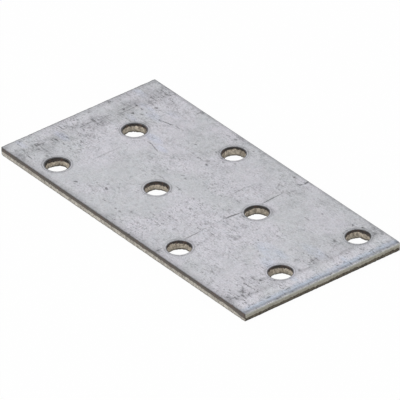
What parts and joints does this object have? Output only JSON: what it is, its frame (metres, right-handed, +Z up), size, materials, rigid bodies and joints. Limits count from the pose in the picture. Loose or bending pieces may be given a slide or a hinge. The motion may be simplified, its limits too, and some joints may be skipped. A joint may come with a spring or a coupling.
{
  "type": "mending plate",
  "caption": "Flat galvanised steel mending plate with a staggered grid of punched nail holes, for joining or reinforcing timber.",
  "frame": {"origin": "middle of the plate's underside", "axes": "+X along the plate towards the end that rolls over at the top, +Y across it, +Z up through the face the holes were punched from"},
  "size_m": [0.08, 0.04, 0.002],
  "materials": {
    "galvanised_steel": "hot-dip galvanised strip, satin, with sheared edges"
  },
  "bodies": {
    "root": {"mending_plate": "galvanised_steel"}
  },
  "joints": []
}
